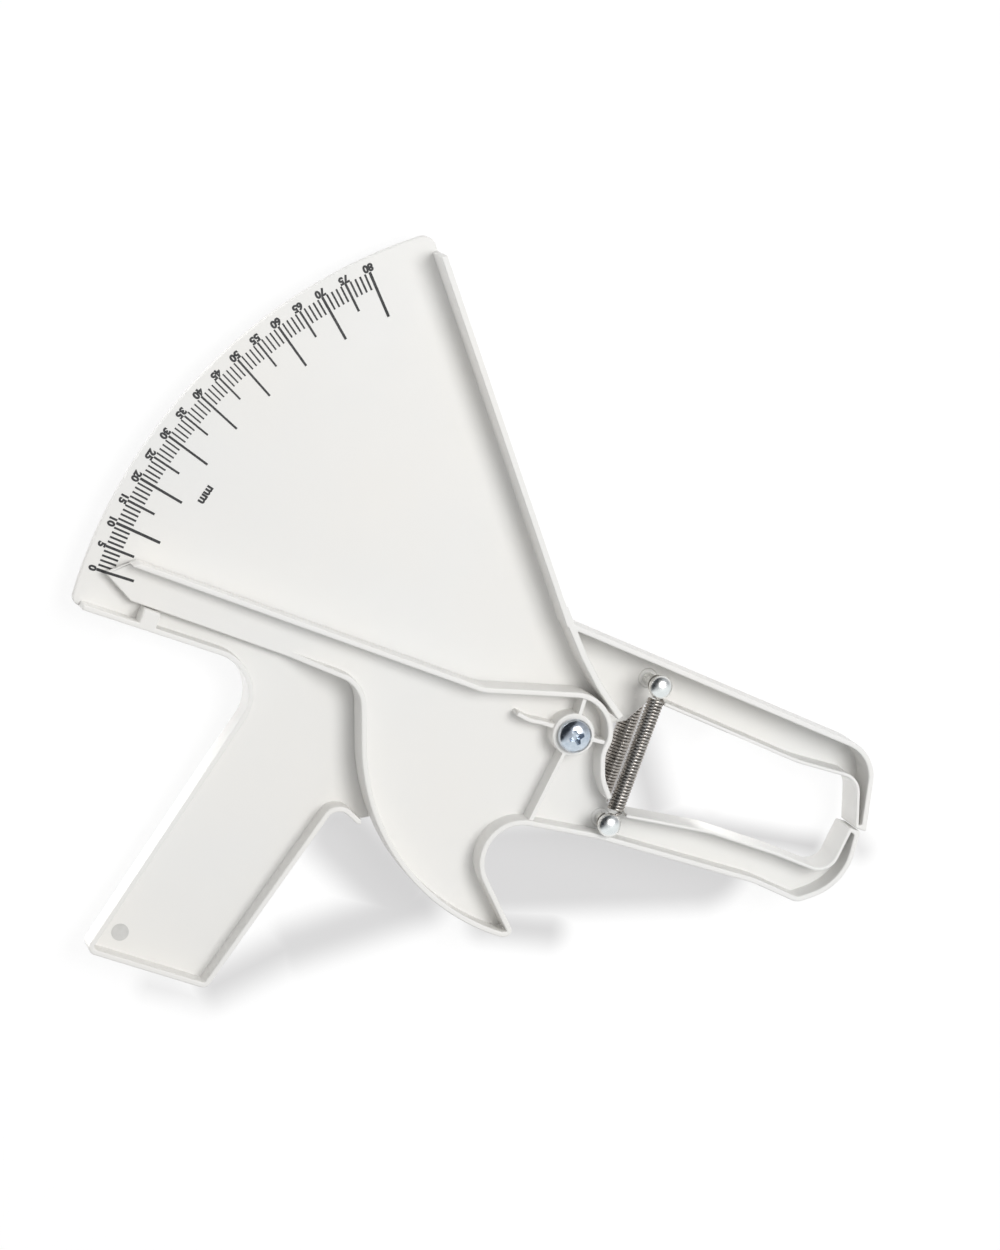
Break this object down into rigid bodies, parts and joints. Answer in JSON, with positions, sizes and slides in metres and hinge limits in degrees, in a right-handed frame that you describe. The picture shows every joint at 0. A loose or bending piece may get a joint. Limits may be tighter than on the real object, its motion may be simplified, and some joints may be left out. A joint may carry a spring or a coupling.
{
  "type": "skinfold caliper",
  "caption": "Moulded body-fat measuring caliper: fan-shaped scale plate with pistol handle, spring-closed jaws, and a trigger lever whose pointer sweeps the scale.",
  "frame": {"origin": "on the surface it lies on, below the middle of its outline as seen from above", "axes": "+Z out of the front, scale side up; +X towards the jaws, along the longest side; +Y towards the scale plate's top"},
  "size_m": [0.259, 0.2357, 0.0284],
  "materials": {
    "frame_plastic": "white moulded plastic, light satin",
    "lever_plastic": "white moulded plastic, light satin",
    "screw_zinc": "bright zinc plated",
    "bush_steel": "plain turned steel",
    "washer_zinc": "zinc plated",
    "nut_zinc": "zinc plated",
    "upper_pin_nickel": "polished nickel plating",
    "upper_cap_nickel": "polished nickel plating",
    "lower_pin_nickel": "polished nickel plating",
    "lower_cap_nickel": "polished nickel plating",
    "front_spring_steel": "bare spring wire",
    "rear_spring_steel": "bare spring wire"
  },
  "bodies": {
    "frame_body": {"frame": "frame_plastic", "pivot_screw": "screw_zinc", "pivot_bush": "bush_steel", "back_washer": "washer_zinc", "lock_nut": "nut_zinc", "upper_pin": "upper_pin_nickel", "upper_pin_cap": "upper_cap_nickel", "front_spring": "front_spring_steel", "rear_spring": "rear_spring_steel"},
    "lever_body": {"lever": "lever_plastic", "lower_pin": "lower_pin_nickel", "lower_pin_cap": "lower_cap_nickel"}
  },
  "joints": [
    {"name": "lever_pivot", "type": "hinge", "parent": "frame_body", "child": "lever_body", "pos_m": [0.02862, -0.04153, 0.0179], "axis": [0, 0, -1], "range_deg": [0, 46], "stiffness_Nm_per_rad": 0.3, "springref_deg": -103.13, "deforming": ["front_spring", "rear_spring"]}
  ]
}
